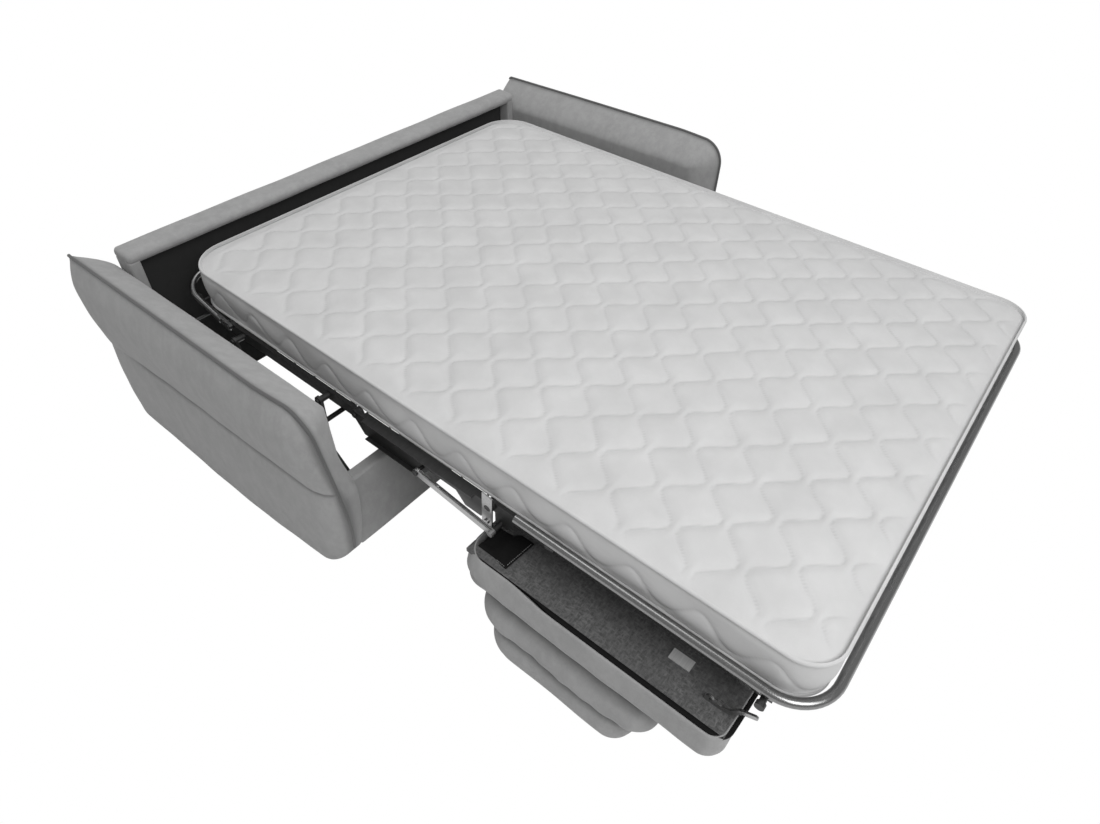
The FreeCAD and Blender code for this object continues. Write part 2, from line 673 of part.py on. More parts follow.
def back_pad():
    """The back cushion: two channels, one on the other, with a sewn crease between them."""
    thick = cushion(SEAT_HALF, 1360.0, 1868.0, [
        (BACK_PAD_CREASE, 26.0), (BACK_PAD_CREASE + 16.0, 4.0), (BACK_PAD_CREASE + 45.0, 0.0),
        (BACK_PAD_TOP - 16.0, 6.0), (BACK_PAD_TOP, 30.0),
    ], 70.0)
    thin = cushion(SEAT_HALF, 1396.0, 1806.0, [
        (BACK_PAD_BOTTOM, 20.0), (BACK_PAD_BOTTOM + 16.0, 2.0), (BACK_PAD_CREASE - 30.0, 0.0),
        (BACK_PAD_CREASE - 10.0, 8.0), (BACK_PAD_CREASE, 24.0),
    ], 60.0)
    return cut_slots(thick.fuse(thin))


def build_cushions():
    board_bottom = SEAT_BOARD_TOP - SEAT_BOARD
    board_half = SEAT_HALF - 14.0
    save("seat_board", cut_notches(box(-board_half, board_half, SEAT_FRONT + 16.0, SEAT_REAR - 8.0,
                                       board_bottom, SEAT_BOARD_TOP)))
    save("seat_pad", seat_pad())
    pair(seat_rail)
    save("seat_hooks", group(seat_hook))
    pair(front_seat_link)
    pair(rear_seat_link)
    save("seat_catch_plates", group(lambda side: box(side * 690.0, side * 716.0, 1826.0, 1876.0,
                                                     SEAT_BOARD_TOP, SEAT_BOARD_TOP + 3.0)))
    save("seat_corner_flaps", group(corner_flap))
    save("seat_hinge_leaves", group(seat_leaf))
    save("back_hinge_leaves", group(back_leaf))
    save("back_pad_board", box(-760.0, 760.0, 1420.0, 1785.0, GLIDE_HEIGHT, BACK_PAD_BOTTOM))
    save("back_pad", back_pad())
    save("back_glides", Part.makeCompound([
        Part.makeCylinder(16.0, GLIDE_HEIGHT, point(x, s, 0.0))
        for x in (-640.0, 640.0) for s in (1480.0, 1720.0)
    ]))


build_base()
build_swing_arms()
build_mattress()
build_frame()
build_cushions()
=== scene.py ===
import json
import math

import bmesh
import bpy
import numpy as np
from mathutils import Matrix, Vector


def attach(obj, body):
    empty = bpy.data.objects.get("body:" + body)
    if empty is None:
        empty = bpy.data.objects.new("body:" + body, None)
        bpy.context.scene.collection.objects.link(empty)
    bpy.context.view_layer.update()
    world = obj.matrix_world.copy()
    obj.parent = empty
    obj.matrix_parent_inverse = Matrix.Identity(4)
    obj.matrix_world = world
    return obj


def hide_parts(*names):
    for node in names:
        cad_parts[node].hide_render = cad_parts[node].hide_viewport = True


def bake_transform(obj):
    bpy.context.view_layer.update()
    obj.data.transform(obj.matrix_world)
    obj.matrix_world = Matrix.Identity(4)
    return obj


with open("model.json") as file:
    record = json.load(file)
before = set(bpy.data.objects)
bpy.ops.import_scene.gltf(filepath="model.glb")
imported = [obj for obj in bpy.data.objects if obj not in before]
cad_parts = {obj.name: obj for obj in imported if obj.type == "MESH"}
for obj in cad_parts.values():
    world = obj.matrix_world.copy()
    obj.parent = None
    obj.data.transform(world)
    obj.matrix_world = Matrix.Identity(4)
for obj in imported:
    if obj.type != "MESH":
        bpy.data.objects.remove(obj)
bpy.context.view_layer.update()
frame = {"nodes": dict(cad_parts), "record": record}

# Sizes in metres. A place along the depth is s, the distance forward from the back rail's rear face.
REAR = 1.0495
MATTRESS_HALF = 0.700
MATTRESS_REAR = 0.148
MATTRESS_FOOT = 2.100
MATTRESS_TOP = 0.565
MATTRESS_LOW = 0.4295
REAR_CORNER = 0.115
FOOT_CORNER = 0.080
QUILT_PITCH = 0.1445
QUILT_START = 0.155
QUILT_ROW = 0.0765
QUILT_WAVE = 0.0285
QUILT_PUFF = 0.0090
BORDER_PITCH = 0.1545
BORDER_WAVE = 0.029
BORDER_ROWS = 34
BASE_HALF = 0.817
BASE_LOW = 0.014
ARM_FRONT = 0.992
ARM_REAR = -0.020
ARM_CORNER = 0.075
ARM_UNDER = 0.070
ARM_PIPING = 0.917
ARM_FULL = 0.9225
ARM_INNER = 0.8175
PIPING_RADIUS = 0.0045
BOARD_HALF = 0.7865
BOARD_TOP = 0.3299
FLAP_TOP = 0.3338
SEAM_ANGLE = 0.9


# Mesh helpers

def piece(name, verts, faces, body, material, smooth=True):
    """A new object from points and faces, riding on a body."""
    mesh = bpy.data.meshes.new(name)
    mesh.from_pydata(np.asarray(verts, dtype=float).tolist(), [], [list(f) for f in faces])
    mesh.validate()
    obj = bpy.data.objects.new(name, mesh)
    bpy.context.scene.collection.objects.link(obj)
    mesh.polygons.foreach_set("use_smooth", np.full(len(mesh.polygons), smooth))
    obj.data.materials.append(material)
    if body:
        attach(obj, body)
    return obj


def place(x, s, z):
    """Points of the row frame from places across, forward and up, as arrays."""
    x, s, z = np.broadcast_arrays(x, s, z)
    return np.stack([x, REAR - s, z], -1)


def grid(points, flip=False):
    """Points and quads of a sheet given as rows by columns by 3."""
    rows, columns = points.shape[:2]
    index = np.arange(rows * columns).reshape(rows, columns)
    quads = np.stack([index[:-1, :-1], index[:-1, 1:], index[1:, 1:], index[1:, :-1]], -1).reshape(-1, 4)
    if flip:
        quads = quads[:, ::-1]
    return points.reshape(-1, 3), quads


def weld(name, patches, body, material, values=None, merge=2e-5):
    """One object from several sheets, with the points they share joined and the faces turned outwards."""
    verts, faces, count = [], [], 0
    for points, quads in patches:
        verts.append(points)
        faces.append(quads + count)
        count += len(points)
    obj = piece(name, np.concatenate(verts), np.concatenate(faces), None, material)
    if values is not None:
        # The values are painted shade, stored on the points for the cloth shader.
        shade = obj.data.attributes.new("painted_shade", "FLOAT", "POINT")
        shade.data.foreach_set("value", np.concatenate([v.reshape(-1) for v in values]).astype(float))
    work = bmesh.new()
    work.from_mesh(obj.data)
    bmesh.ops.remove_doubles(work, verts=work.verts, dist=merge)
    bmesh.ops.recalc_face_normals(work, faces=work.faces)
    work.to_mesh(obj.data)
    work.free()
    obj.data.polygons.foreach_set("use_smooth", np.full(len(obj.data.polygons), True))
    if body:
        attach(obj, body)
    return obj


def smooth_step(low, high, value):
    """0 below low, 1 above high, and an even curve between."""
    t = np.clip((value - low) / (high - low), 0.0, 1.0)
    return t * t * (3.0 - 2.0 * t)


def ripple(x, y, z, seed, size):
    """Slow waves in every direction, from sums of sines, between about -1 and 1."""
    rng = np.random.default_rng(seed)
    total = 0.0
    for _ in range(7):
        way = rng.normal(size=3)
        way = way / np.linalg.norm(way) * rng.uniform(0.6, 1.7) * 2.0 * math.pi / size
        total = total + np.sin(way[0] * x + way[1] * y + way[2] * z + rng.uniform(0.0, 6.283))
    return total / 3.5


def tube(path, radius, sides=12, closed=False):
    """Points and quads of a round tube along a path of points."""
    path = np.asarray(path, dtype=float)
    ahead = np.roll(path, -1, 0) - path
    if not closed:
        ahead[-1] = ahead[-2]
    back = np.roll(ahead, 1, 0)
    if not closed:
        back[0] = ahead[0]
    way = ahead / np.linalg.norm(ahead, axis=1)[:, None] + back / np.linalg.norm(back, axis=1)[:, None]
    way = way / np.linalg.norm(way, axis=1)[:, None]
    side = np.zeros_like(path)
    side[0] = np.cross(way[0], [0.13, 0.21, 0.97])
    for i in range(1, len(path)):
        side[i] = side[i - 1] - way[i] * np.dot(side[i - 1], way[i])
        side[i] /= np.linalg.norm(side[i])
    side[0] /= np.linalg.norm(side[0])
    other = np.cross(way, side)
    angle = np.linspace(0.0, 2.0 * math.pi, sides, endpoint=False)
    radius = np.broadcast_to(np.asarray(radius, dtype=float), (len(path),))
    ring = (side[:, None] * np.cos(angle)[None, :, None] + other[:, None] * np.sin(angle)[None, :, None])
    points = path[:, None] + ring * radius[:, None, None]
    points = np.concatenate([points, points[:, :1]], 1)
    if closed:
        points = np.concatenate([points, points[:1]], 0)
    verts, quads = grid(points)
    caps = [] if closed else [end_cap(points[0, :-1]), end_cap(points[-1, :-1])]
    return [(verts, quads)] + caps


def end_cap(ring):
    """A fan of quads over a ring with an even number of points."""
    half = len(ring) // 2
    left, right = ring[:half + 1], np.concatenate([ring[:1], ring[:half - 1:-1]])
    rows = np.stack([left, right], 1)
    return grid(rows)


def resample(points, count):
    """Evenly spaced points along a smooth line through the given ones."""
    points = np.asarray(points, dtype=float)
    n = len(points)
    fine = []
    for i in range(n - 1):
        p0, p1, p2, p3 = points[max(i - 1, 0)], points[i], points[i + 1], points[min(i + 2, n - 1)]
        t = np.linspace(0.0, 1.0, 24, endpoint=False)[:, None]
        fine.append(0.5 * ((2 * p1) + (p2 - p0) * t + (2 * p0 - 5 * p1 + 4 * p2 - p3) * t ** 2
                           + (3 * p1 - p0 - 3 * p2 + p3) * t ** 3))
    fine = np.concatenate(fine + [points[-1:]])
    run = np.concatenate([[0.0], np.cumsum(np.linalg.norm(np.diff(fine, axis=0), axis=1))])
    at = np.linspace(0.0, run[-1], count)
    return np.stack([np.interp(at, run, fine[:, k]) for k in range(points.shape[1])], -1)


# Materials

class Wire:
    """A shader socket that adds, multiplies and mixes like a number."""

    tree = None

    def __init__(self, socket):
        self.socket = socket

    @classmethod
    def node(cls, kind, **settings):
        made = cls.tree.nodes.new(kind)
        for key, value in settings.items():
            setattr(made, key, value)
        return made

    @classmethod
    def feed(cls, socket, value):
        if isinstance(value, Wire):
            cls.tree.links.new(value.socket, socket)
        else:
            socket.default_value = value

    @classmethod
    def math(cls, operation, *values, clamp=False):
        made = cls.node("ShaderNodeMath", operation=operation, use_clamp=clamp)
        for socket, value in zip(made.inputs, values):
            cls.feed(socket, value)
        return cls(made.outputs[0])

    def __add__(self, other):
        return Wire.math("ADD", self, other)

    def __sub__(self, other):
        return Wire.math("SUBTRACT", self, other)

    def __mul__(self, other):
        return Wire.math("MULTIPLY", self, other)

    __radd__ = __add__
    __rmul__ = __mul__

    def fit(self, low, high, start, end):
        """Maps low..high on to start..end, held at both."""
        made = Wire.node("ShaderNodeMapRange", clamp=True)
        for socket, value in zip(made.inputs, (self, low, high, start, end)):
            Wire.feed(socket, value)
        return Wire(made.outputs[0])

    def blend(self, first, second):
        """A colour between two, by this value."""
        made = Wire.node("ShaderNodeMix", data_type="RGBA")
        Wire.feed(made.inputs[0], self)
        Wire.feed(made.inputs[6], first)
        Wire.feed(made.inputs[7], second)
        return Wire(made.outputs[2])


def grey(value, warmth=0.0):
    """A near-neutral colour."""
    return (value * (1.0 + warmth), value, value * (1.0 - warmth), 1.0)


def noise(scale, detail=4.0, stretch=(1.0, 1.0, 1.0), roughness=0.55):
    """Noise on object coordinates."""
    coords = Wire.node("ShaderNodeTexCoord")
    mapping = Wire.node("ShaderNodeMapping")
    mapping.inputs["Scale"].default_value = stretch
    Wire.tree.links.new(coords.outputs["Object"], mapping.inputs["Vector"])
    made = Wire.node("ShaderNodeTexNoise")
    made.inputs["Scale"].default_value = scale
    made.inputs["Detail"].default_value = detail
    made.inputs["Roughness"].default_value = roughness
    Wire.tree.links.new(mapping.outputs[0], made.inputs["Vector"])
    return Wire(made.outputs[0])


def attribute(name):
    """A value stored on the mesh's points."""
    made = Wire.node("ShaderNodeAttribute", attribute_name=name)
    return Wire(made.outputs["Fac"])


def begin(name):
    """A new material with only its shader, and the shader."""
    material = bpy.data.materials.new(name)
    material.use_nodes = True
    Wire.tree = material.node_tree
    shader = Wire.tree.nodes["Principled BSDF"]
    return material, shader


def bump(shader, height, strength, distance):
    """Raises the surface by a height."""
    made = Wire.node("ShaderNodeBump")
    made.inputs["Strength"].default_value = strength
    made.inputs["Distance"].default_value = distance
    Wire.feed(made.inputs["Height"], height)
    Wire.tree.links.new(made.outputs[0], shader.inputs["Normal"])


def weave_height(pitch):
    """Fine crossed threads, strongest where the three object axes' stripes overlap."""
    coords = Wire.node("ShaderNodeTexCoord")
    split = Wire.node("ShaderNodeSeparateXYZ")
    Wire.tree.links.new(coords.outputs["Object"], split.inputs[0])
    turn = 2.0 * math.pi / pitch
    waves = [Wire.math("SINE", Wire(split.outputs[k]) * turn) for k in range(3)]
    return waves[0] * waves[1] + waves[1] * waves[2] + waves[2] * waves[0]


def cloth(name, base, dark, pitch, warmth=0.0, painted_shade=0.0, fuzz=0.25, bump_size=0.00035, nap=0.0):
    """Woven upholstery: mottled threads, a soft sheen, and painted shade darkening sewn lines and creases where
    the mesh's shade value is set.
    """
    material, shader = begin(name)
    mottle = noise(9.0, 5.0).fit(0.30, 0.72, 0.0, 1.0)
    brushed = noise(38.0, 6.0, (1.0, 1.0, 0.6), 0.7).fit(0.42, 0.62, 0.0, 1.0)
    thread = noise(900.0, 2.0).fit(0.25, 0.75, 0.0, 1.0)
    colour = mottle.blend(grey(base * 0.92, warmth), grey(base * 1.06, warmth))
    colour = (brushed * nap).blend(colour, grey(base * 1.28, warmth))
    colour = (thread * 0.35).blend(colour, grey(dark, warmth))
    # Painted shade: where the mesh's stored value is set, the colour darkens towards a deep grey, standing in
    # for the shade in sewn grooves and creases.
    if painted_shade:
        colour = (attribute("painted_shade") * painted_shade).blend(colour, grey(dark * 0.55, warmth))
    Wire.feed(shader.inputs["Base Color"], colour)
    Wire.feed(shader.inputs["Roughness"], noise(60.0, 3.0).fit(0.2, 0.8, 0.82, 0.96))
    shader.inputs["Sheen Weight"].default_value = fuzz
    shader.inputs["Sheen Roughness"].default_value = 0.55
    shader.inputs["Specular IOR Level"].default_value = 0.25
    height = weave_height(pitch) * 0.30 + noise(420.0, 3.0) * 0.8
    bump(shader, height, 0.45, bump_size)
    return material


def metal(name, base, roughness, scratch=0.12, metallic=1.0, warmth=0.0):
    """Plated or painted steel with faint drawn streaks, dull patches and fine dust."""
    material, shader = begin(name)
    streak = noise(35.0, 6.0, (0.6, 9.0, 9.0)).fit(0.3, 0.7, 0.0, 1.0)
    patch = noise(7.0, 4.0).fit(0.35, 0.7, 0.0, 1.0)
    colour = streak.blend(grey(base * 0.86, warmth), grey(base * 1.10, warmth))
    Wire.feed(shader.inputs["Base Color"], (patch * 0.25).blend(colour, grey(base * 0.72, warmth)))
    Wire.feed(shader.inputs["Roughness"], streak * scratch + patch * 0.08 + roughness)
    shader.inputs["Metallic"].default_value = metallic
    bump(shader, noise(260.0, 4.0, (0.5, 3.0, 3.0)), 0.04, 0.0001)
    return material


def wood(name):
    """Bare plywood."""
    material, shader = begin(name)
    grain = noise(14.0, 8.0, (1.0, 1.0, 7.0)).fit(0.3, 0.7, 0.0, 1.0)
    Wire.feed(shader.inputs["Base Color"], grain.blend((0.42, 0.30, 0.18, 1.0), (0.58, 0.44, 0.29, 1.0)))
    Wire.feed(shader.inputs["Roughness"], grain.fit(0.0, 1.0, 0.55, 0.75))
    bump(shader, grain, 0.2, 0.0004)
    return material


def plastic(name, base):
    """Matt moulded plastic."""
    material, shader = begin(name)
    speck = noise(300.0, 3.0).fit(0.3, 0.7, 0.0, 1.0)
    Wire.feed(shader.inputs["Base Color"], speck.blend(grey(base * 0.85), grey(base * 1.2)))
    Wire.feed(shader.inputs["Roughness"], speck.fit(0.0, 1.0, 0.45, 0.6))
    bump(shader, speck, 0.15, 0.0002)
    return material


def felt(name, base, fleck):
    """Needled felt: short pale fibres lying every way over a dark ground."""
    material, shader = begin(name)
    fibre = noise(170.0, 6.0, (1.0, 0.35, 1.0), 0.75).fit(0.44, 0.70, 0.0, 1.0)
    cross = noise(170.0, 6.0, (0.35, 1.0, 1.0), 0.75).fit(0.44, 0.70, 0.0, 1.0)
    cloud = noise(16.0, 5.0).fit(0.3, 0.7, 0.55, 1.0)
    amount = Wire.math("MAXIMUM", fibre, cross) * cloud
    Wire.feed(shader.inputs["Base Color"], amount.blend(grey(base), grey(fleck)))
    shader.inputs["Roughness"].default_value = 0.95
    shader.inputs["Sheen Weight"].default_value = 0.2
    shader.inputs["Specular IOR Level"].default_value = 0.2
    bump(shader, amount, 0.5, 0.0008)
    return material


UPHOLSTERY = cloth("upholstery_cloth", 0.325, 0.24, 0.0016, painted_shade=0.95, nap=0.45)
MATTRESS_CLOTH = cloth("mattress_knit", 0.60, 0.52, 0.0022, painted_shade=0.26, fuzz=0.1, bump_size=0.0003)
PIPING = cloth("piping_cloth", 0.115, 0.085, 0.0016)
LINING = cloth("lining_cloth", 0.028, 0.016, 0.0020, fuzz=0.05)
# Near-black cloth of the corner flaps and the webbing, also used as the painted shadow in the seat's gap.
FLAP_AND_GAP_SHADOW = cloth("flap_cloth_and_gap_shadow", 0.004, 0.002, 0.0022, fuzz=0.0)
STITCH = cloth("stitch_thread", 0.30, 0.20, 0.0010, fuzz=0.1)
FELT = felt("felt", 0.060, 0.19)
DARK_STEEL = metal("dark_steel", 0.060, 0.30, metallic=0.75)
BRIGHT_STEEL = metal("bright_steel", 0.42, 0.24)
TUBE_STEEL = metal("tube_steel", 0.27, 0.20, scratch=0.03)
ZINC = metal("zinc_plate", 0.62, 0.38, metallic=0.35)
PLYWOOD = wood("plywood")
PLASTIC = plastic("black_plastic", 0.02)

SLOT_MATERIALS = {
    "upholstery": UPHOLSTERY,
    "lining": LINING,
    "wood": PLYWOOD,
    "felt": FELT,
    "webbing": FLAP_AND_GAP_SHADOW,
    "mattress_cloth": MATTRESS_CLOTH,
    "dark_steel": DARK_STEEL,
    "bright_steel": BRIGHT_STEEL,
    "glide_plastic": PLASTIC,
}
NODE_MATERIALS = {"head_tube": TUBE_STEEL, "foot_tube": TUBE_STEEL, "seat_catch_plates": ZINC}

for part in frame["record"]["subparts"]:
    node = frame["nodes"][part["node"]]
    material = NODE_MATERIALS.get(part["node"], SLOT_MATERIALS[part["material_slot"]])
    for slot_index in range(len(node.material_slots)):
        node.material_slots[slot_index].material = material


# Mattress

def corner_distance(x, s):
    """Distance inside the mattress's rounded outline, negative inside."""
    middle = (MATTRESS_REAR + MATTRESS_FOOT) / 2.0
    half = (MATTRESS_FOOT - MATTRESS_REAR) / 2.0
    radius = np.where(s < middle, REAR_CORNER, FOOT_CORNER)
    qx = np.abs(x) - (MATTRESS_HALF - radius)
    qs = np.abs(s - middle) - (half - radius)
    outside = np.hypot(np.maximum(qx, 0.0), np.maximum(qs, 0.0))
    return outside + np.minimum(np.maximum(qx, qs), 0.0) - radius


def half_width(s):
    """Half the mattress's width at a distance forward."""
    rear = np.clip((MATTRESS_REAR + REAR_CORNER - s) / REAR_CORNER, 0.0, 1.0)
    foot = np.clip((s - MATTRESS_FOOT + FOOT_CORNER) / FOOT_CORNER, 0.0, 1.0)
    drawn = REAR_CORNER * (1.0 - np.sqrt(1.0 - rear ** 2)) + FOOT_CORNER * (1.0 - np.sqrt(1.0 - foot ** 2))
    return MATTRESS_HALF - drawn


def quilt_distance(x, s):
    """Distance to the nearest sewn line of the top: rows of waves, each half a wave off the last."""
    x = x + 0.004 * ripple(x, s, 0.0, 3, 0.5)
    s = s + 0.003 * ripple(x, s, 0.0, 4, 0.4)
    row = (s - QUILT_START) / QUILT_ROW
    first = np.floor(row)
    nearest = np.full(x.shape, 9.0)
    for step in (-1.0, 0.0, 1.0, 2.0):
        line = first + step
        phase = 2.0 * math.pi * (x + 0.737) / QUILT_PITCH + math.pi * line
        centre = QUILT_START + line * QUILT_ROW + QUILT_WAVE * np.cos(phase)
        slope = QUILT_WAVE * 2.0 * math.pi / QUILT_PITCH * np.sin(phase)
        nearest = np.minimum(nearest, np.abs(s - centre) / np.sqrt(1.0 + slope ** 2))
    return nearest


def mattress_top(x, s):
    """Height of the quilted top, and how much painted shade its sewn lines get."""
    inside = -corner_distance(x, s)
    near = quilt_distance(x, s)
    flat = smooth_step(0.012, 0.060, inside)
    puff = QUILT_PUFF * (1.0 - np.exp(-near / 0.0110)) * (0.85 + 0.15 * ripple(x, s, 0.0, 9, 0.35))
    crown = 0.004 * smooth_step(0.0, 0.30, inside) + 0.0022 * ripple(x, s, 0.0, 5, 0.45) * flat
    shoulder = 0.0105 * np.exp(-inside / 0.017)
    height = MATTRESS_TOP - 0.009 + crown + puff * flat - shoulder
    # The second value is painted shade along the sewn lines, where the stitched grooves sink.
    return height, np.exp(-(near / 0.0022) ** 2) * flat


def border_profile(count):
    """Heights and outward steps down the mattress's side, with a taped edge above and below, and painted shade
    in the rows just inside each tape.
    """
    z = np.linspace(MATTRESS_TOP - 0.0165, MATTRESS_LOW + 0.010, count)
    middle = (MATTRESS_TOP + MATTRESS_LOW) / 2.0
    bulge = 1.0 - ((z - middle) / 0.062) ** 2
    out = -0.0040 + 0.0065 * np.clip(bulge, 0.0, 1.0)
    roll = np.radians(np.linspace(100.0, -75.0, 9))
    tape_out = -0.0040 + 0.0052 * np.cos(roll)
    tape_z = MATTRESS_TOP - 0.0105 + 0.0052 * np.sin(roll)
    low_out, low_z = tape_out[::-1], MATTRESS_TOP + MATTRESS_LOW - tape_z[::-1]
    # Painted shade in the rows just under the upper tape and just above the lower one, where the tapes
    # overhang.
    dark = np.zeros(count)
    dark[:2] = (1.0, 0.35)
    dark[-1] = 0.8
    return (np.concatenate([tape_out, out, low_out]), np.concatenate([tape_z, z, low_z]),
            np.concatenate([np.zeros(9), dark, np.zeros(9)]))


def border(points, normals, run):
    """The mattress's side along a run of outline points, quilted with one wavy line that gets painted shade."""
    out, z, dark = border_profile(BORDER_ROWS)
    turn = 2.0 * math.pi / BORDER_PITCH
    wave = 0.486 + BORDER_WAVE * np.cos(turn * run)
    slope = BORDER_WAVE * turn * np.sin(turn * run)
    near = np.abs(z[None, :] - wave[:, None]) / np.sqrt(1.0 + slope[:, None] ** 2)
    band = smooth_step(MATTRESS_LOW + 0.008, MATTRESS_LOW + 0.022, z) * smooth_step(
        MATTRESS_TOP - 0.014, MATTRESS_TOP - 0.034, z)
    puff = (-0.0038 * np.exp(-near / 0.007)) * band[None, :]
    sag = ripple(points[:, None, 0], points[:, None, 1], z[None, :] * 3.0, 21, 0.35)
    sag = 0.0022 * sag * band[None, :]
    reach = out[None, :] + puff + sag
    x = points[:, None, 0] + normals[:, None, 0] * reach
    s = points[:, None, 1] + normals[:, None, 1] * reach
    # Painted shade along the wavy sewn line, with the tapes' painted shade kept.
    line = np.exp(-(near / 0.0022) ** 2) * band[None, :] * 0.9
    return place(x, s, np.broadcast_to(z, x.shape)), np.maximum(line, dark[None, :])


def outline_normals(x, s):
    """Outward directions of the rounded outline."""
    step = 1e-4
    nx = corner_distance(x + step, s) - corner_distance(x - step, s)
    ns = corner_distance(x, s + step) - corner_distance(x, s - step)
    size = np.hypot(nx, ns)
    return np.stack([nx / size, ns / size], -1)


def rows_between(s0, s1):
    """Row positions, closer together where the outline turns its corners."""
    turns = np.linspace(0.0, math.pi / 2.0, 26)
    rear = MATTRESS_REAR + REAR_CORNER * (1.0 - np.cos(turns))
    foot = MATTRESS_FOOT - FOOT_CORNER * (1.0 - np.cos(turns))
    even = np.arange(rear[-1], foot[-1], 0.0054)
    rows = np.unique(np.round(np.concatenate([rear, even, foot, [s0, s1]]), 6))
    rows = rows[(rows >= s0 - 1e-9) & (rows <= s1 + 1e-9)]
    keep = np.concatenate([[True], np.diff(rows) > 0.0006])
    keep[-1] = True
    return rows[keep]


def sharpen(obj):
    """Keeps hard corners, such as the flat cuts, from shading as if they were round."""
    work = bmesh.new()
    work.from_mesh(obj.data)
    for edge in work.edges:
        edge.smooth = edge.calc_face_angle(0.0) < SEAM_ANGLE
    work.to_mesh(obj.data)
    work.free()


def mattress_piece(name, s0, s1, head_end, foot_end):
    """A length of the mattress, closed by its own end wall or by a flat cut."""
    rows = rows_between(s0, s1)
    across = np.linspace(-1.0, 1.0, 262)
    width = half_width(rows)
    x = width[:, None] * across[None, :]
    s = np.broadcast_to(rows[:, None], x.shape)
    height, dark = mattress_top(x * (1.0 - 0.0048 / np.maximum(np.abs(x), 0.3)), s)
    out, z, _ = border_profile(BORDER_ROWS)
    top_x = x + np.sign(across)[None, :] * out[0] * np.abs(across)[None, :] ** 24
    top_s = np.array(s)
    height[:, 0] = height[:, -1] = z[0]
    if head_end:
        height[0] = z[0]
        top_s = np.where(s == rows[0], s - out[0], top_s)
    if foot_end:
        height[-1] = z[0]
        top_s = np.where(s == rows[-1], s + out[0], top_s)
    low = np.full(x.shape, z[-1])
    walls = []
    for column in (0, -1):
        points = np.stack([x[:, column], rows], -1)
        normals = outline_normals(points[:, 0], points[:, 1])
        sheet, shade = border(points, normals, rows - QUILT_START)
        walls.append((sheet, shade))
        top_x[:, column] = sheet[:, 0, 0]
        top_s[:, column] = REAR - sheet[:, 0, 1]
    low_x, low_s = np.array(x), np.array(s)
    for (sheet, _), column in zip(walls, (0, -1)):
        low_x[:, column] = sheet[:, -1, 0]
        low_s[:, column] = REAR - sheet[:, -1, 1]
    for has_end, row, way in ((head_end, 0, -1.0), (foot_end, -1, 1.0)):
        if has_end:
            points = np.stack([x[row], s[row]], -1)
            normals = np.broadcast_to([0.0, way], points.shape)
            sheet, shade = border(points, normals, x[row] + 0.7)
            for column, wall in ((0, walls[0]), (-1, walls[1])):
                sheet[column] = wall[0][row]
            walls.append((sheet, shade))
            top_x[row], top_s[row] = sheet[:, 0, 0], REAR - sheet[:, 0, 1]
            low_x[row], low_s[row] = sheet[:, -1, 0], REAR - sheet[:, -1, 1]
        else:
            drop = np.linspace(0.0, 1.0, 6)[None, :, None]
            upper = place(top_x[row], top_s[row], height[row])[:, None]
            lower = place(low_x[row], low_s[row], low[row])[:, None]
            walls.append((upper * (1.0 - drop) + lower * drop, np.zeros((x.shape[1], 6))))
    sheets = [place(top_x, top_s, height), place(low_x, low_s, low)] + [sheet for sheet, _ in walls]
    values = [dark, np.zeros(x.shape)] + [shade for _, shade in walls]
    obj = weld(name, [grid(sheet) for sheet in sheets], None, MATTRESS_CLOTH, values)
    sharpen(obj)
    return obj


def build_mattress():
    """The mattress in three straight lengths, cut across at two places."""
    rear_cut, middle_cut = 0.640, 1.040
    head = mattress_piece("mattress_head", MATTRESS_REAR, rear_cut, True, False)
    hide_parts("mattress_head_block", "mattress_head_fold", "mattress_rear_block")
    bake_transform(head)
    middle = mattress_piece("mattress_middle", rear_cut, middle_cut, False, False)
    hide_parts("mattress_middle_fold", "mattress_middle_block")
    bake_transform(middle)
    foot = mattress_piece("mattress_foot", middle_cut, MATTRESS_FOOT, False, True)
    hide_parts("mattress_foot_fold", "mattress_foot_block")
    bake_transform(foot)


build_mattress()


# Base upholstery

def rounded_rectangle(half_a, half_b, radius, counts):
    """Points round a rectangle, each corner an arc and each side its own number of steps."""
    ways = ((1, 1), (-1, 1), (-1, -1), (1, -1))
    loop = []
    for quarter, (way_a, way_b) in enumerate(ways):
        turn = np.linspace(quarter * math.pi / 2.0, (quarter + 1) * math.pi / 2.0, 9)
        loop.append(np.stack([way_a * (half_a - radius) + radius * np.cos(turn),
                              way_b * (half_b - radius) + radius * np.sin(turn)], -1))
        start = loop[-1][-1]
        next_a, next_b = ways[(quarter + 1) % 4]
        stop = np.array([next_a * (half_a - radius) + radius * math.cos(turn[-1]),
                         next_b * (half_b - radius) + radius * math.sin(turn[-1])])
        fill = np.linspace(0.0, 1.0, counts[quarter % 2] + 1)[1:-1, None]
        loop.append(start + (stop - start) * fill)
    return np.concatenate(loop)


